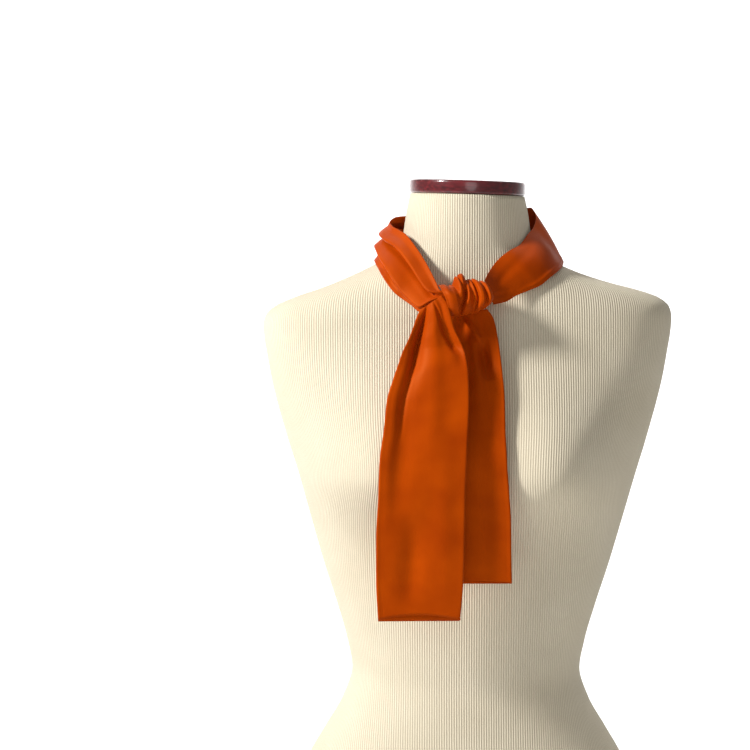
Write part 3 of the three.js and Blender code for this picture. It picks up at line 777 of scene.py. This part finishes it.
def tail_rows(table, creases, fold_side, hem_drop, hem_arch):
    radius = LAYER_PITCH / 2
    rows, run, last_middle = [], 0.0, None
    for i in range(TAIL_ROWS + 1):
        station = table.last * i / TAIL_ROWS
        last = i / TAIL_ROWS
        row = table.at(station)
        edge, across, out, width, middle = strip_frame(table, station, TAIL_NAMES.split()[:6])
        run += (middle - last_middle).length if last_middle else 0.0
        last_middle = middle
        flat = width - radius
        line = [(flat * j / TAIL_FLAT, 1.0) for j in range(TAIL_FLAT + 1)]
        for j in range(1, TAIL_BEND):
            angle = math.pi * j / TAIL_BEND
            line.append((flat + radius * math.sin(angle), math.cos(angle)))
        line += [(flat * j / TAIL_FLAT, -1.0) for j in range(TAIL_FLAT, -1, -1)]
        points = []
        for j, (from_hem, layer) in enumerate(line):
            a = from_hem if fold_side > 0 else width - from_hem
            share = a / width
            b = layer * radius
            b -= row["valley"] * bell(share - row["valley_at"], VALLEY_WIDTH)
            b -= row["groove"] * bell(share - row["groove_at"], GROOVE_WIDTH)
            b += crease_height(creases, station, share)
            point = edge + across * a + out * b
            behind = (1 - layer) / 2
            point.z -= hem_drop * behind * last**DROP_POWER
            point.z += hem_arch * (1 - behind) * math.sin(math.pi * share) * last**ARCH_POWER
            hem = 1.0 if from_hem < HEM_WIDTH or last > END_HEM_FROM else 0.0
            cloth = from_hem if layer > 0 else 2 * flat - from_hem
            points.append((keep_clear(point, SILK_CLEAR), (run, cloth), hem))
        rows.append(points if fold_side > 0 else points[::-1])
    return rows


def hang_tail(name, node_name, rows):
    tail = add_shell(finish_mesh(bent_grid(rows), name, silk), TAIL_SHELL)
    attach(tail, "root")
    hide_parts(node_name)
    return tail


front_rows = tail_rows(FRONT_TAIL, FRONT_CREASES, fold_side=1, hem_drop=1.5, hem_arch=4.5)
front_tail = hang_tail("front_tail", "scarf_front_tail", front_rows)
back_rows = tail_rows(BACK_TAIL, BACK_CREASES, fold_side=-1, hem_drop=1.2, hem_arch=2)
back_tail = hang_tail("back_tail", "scarf_back_tail", back_rows)

# %% [markdown]
# The knot is the other end of the scarf wrapped once round the core, so it is a strip that runs over
# the top, down the front and under. Where it is pulled tight it gathers into uneven lobes. One table
# has the strip's two edges at each turn, 0 degrees being straight in front and 90 on top, and the
# other has how far each lobe stands out above, in front, below and behind.

# %% Knot's edges, lobes and creases
KNOT_Y = -91.0
KNOT_Z = 694.0
KNOT_EDGES = SmoothTable(
    "turn left right",
    [(-150, -15, 11), (-90, -17.5, 11), (0, -24, 19), (45, -28, 16), (90, -30, 11), (150, -25, 9)],
)
KNOT_LOBES = SmoothTable(
    "share above front below behind",
    [
        (0, 10.4, 18.3, 17, 14),
        (0.1, 11, 20, 18, 15),
        (0.22, 10, 21, 18, 16),
        (0.3, 15, 18, 17, 16),
        (0.4, 20, 19, 16.5, 16),
        (0.5, 21, 17, 16, 16),
        (0.6, 15, 13, 15, 16),
        (0.7, 17, 17, 15, 16),
        (0.8, 16, 18, 13.5, 16),
        (0.88, 14, 15, 12, 16),
        (0.95, 14, 15.5, 11, 15),
        (1, 12.5, 13, 10, 13),
    ],
)
KNOT_CREASES = [
    # from and to in degrees of turn, then as in the neck band's list
    (-95, 75, 0.22, 0.56, -7.0, 0.05),
    (15, 150, 0.3, 0.3, -4.6, 0.035),
    (-80, 115, 0.67, 0.71, -5.0, 0.03),
    (-10, 130, 0.44, 0.39, -3.0, 0.025),
    (-40, 90, 0.12, 0.1, 1.4, 0.08),
    (-70, 70, 0.84, 0.88, -1.4, 0.025),
    (-95, 125, 0.94, 0.93, 1.2, 0.03),
]
print("lobes from", KNOT_EDGES.at(0)["left"], "to", KNOT_EDGES.at(0)["right"], "mm across the front")

# %% Knot
KNOT_ROWS = 130
KNOT_ACROSS = 120
KNOT_TURN = 150
KNOT_CLOTH_WIDTH = 60
KNOT_CLOTH_PER_DEGREE = 0.32
KNOT_HEM_TO = 0.03
KNOT_SHELL = 1.2


def knot_rows():
    rows = []
    for i in range(KNOT_ROWS + 1):
        turn = blend(-KNOT_TURN, KNOT_TURN, i / KNOT_ROWS)
        ends = KNOT_EDGES.at(turn)
        c, s = math.cos(math.radians(turn)), math.sin(math.radians(turn))
        points = []
        for j in range(KNOT_ACROSS + 1):
            share = j / KNOT_ACROSS
            lobe = KNOT_LOBES.at(share)
            extra = crease_height(KNOT_CREASES, turn, share)
            forward = (lobe["front"] if c > 0 else lobe["behind"]) + extra
            upward = (lobe["above"] if s > 0 else lobe["below"]) + extra
            point = Vector((
                blend(ends["left"], ends["right"], share),
                KNOT_Y - forward * c,
                KNOT_Z + upward * s,
            ))
            cloth = (turn * KNOT_CLOTH_PER_DEGREE, share * KNOT_CLOTH_WIDTH)
            hem = 1.0 if share < KNOT_HEM_TO else 0.0
            points.append((keep_clear(point, SILK_CLEAR), cloth, hem))
        rows.append(points)
    return rows


knot = add_shell(finish_mesh(bent_grid(knot_rows()), "knot", silk), KNOT_SHELL)
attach(knot, "root")
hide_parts("scarf_knot")

# %% [markdown]
# The set is a plain pale floor that sweeps up behind like a roll of paper. A flat wall would show a
# line where it meets the floor, and the curve hides it.

# %% Floor
FLOOR_WIDTH = 12
FLOOR_LENGTH = 7
FLOOR_FRONT = -2.5
SWEEP_FROM = 0.6
SWEEP_HEIGHT = 3.2

bm = bmesh.new()
bmesh.ops.create_grid(bm, x_segments=1, y_segments=40, size=0.5)
for vert in bm.verts:
    along = vert.co.y + 0.5
    sweep = max(0.0, along - SWEEP_FROM) / 0.4
    vert.co = Vector((vert.co.x * FLOOR_WIDTH, FLOOR_FRONT + along * FLOOR_LENGTH, SWEEP_HEIGHT * sweep**2))
floor_material, tree, shader = new_material("pale floor")
flat_place = node(tree, "ShaderNodeTexCoord").outputs["Object"]
paper = node(tree, "ShaderNodeTexNoise", Vector=flat_place, Scale=40.0).outputs["Fac"]
paper_colour = colour_ramp(tree, paper, [(0.3, (0.86, 0.86, 0.86)), (0.7, (0.88, 0.88, 0.88))])
tree.links.new(paper_colour, shader.inputs["Base Color"])
shader.inputs["Roughness"].default_value = 0.8
floor = finish_mesh(bm, "floor", floor_material)

# %% [markdown]
# One strong light stands high to the wearer's right, small enough to cast the band's shadow on the form
# and to leave the far side of every fold darker. A weak one in front and a pale world keep the shadows
# open, and a wide one washes the backdrop only. The standard view keeps the silk's colour as it is set.


# %% Light
def soft_light(name, place, aim, size, power):
    data = bpy.data.lights.new(name, "AREA")
    data.shape = "DISK"
    data.size = size
    data.energy = power
    light = bpy.data.objects.new(name, data)
    light.location = place
    light.rotation_euler = (Vector(aim) - Vector(place)).to_track_quat("-Z", "Y").to_euler()
    bpy.context.collection.objects.link(light)
    print(name, power, "W")


soft_light("key", (-2.2, -1.0, 2.1), (0, 0, 0.6), 0.5, 96)
soft_light("fill", (0.2, -2.8, 1.0), (0, 0, 0.6), 1.2, 6)
soft_light("backdrop_wash", (0, 1.2, 2.6), (0, 3.6, 0.8), 2.5, 120)
world = bpy.data.worlds.new("pale room")
world.use_nodes = True
world.node_tree.nodes["Background"].inputs["Color"].default_value = (1, 1, 1, 1)
world.node_tree.nodes["Background"].inputs["Strength"].default_value = 0.24
bpy.context.scene.world = world
bpy.context.scene.view_settings.view_transform = "Standard"
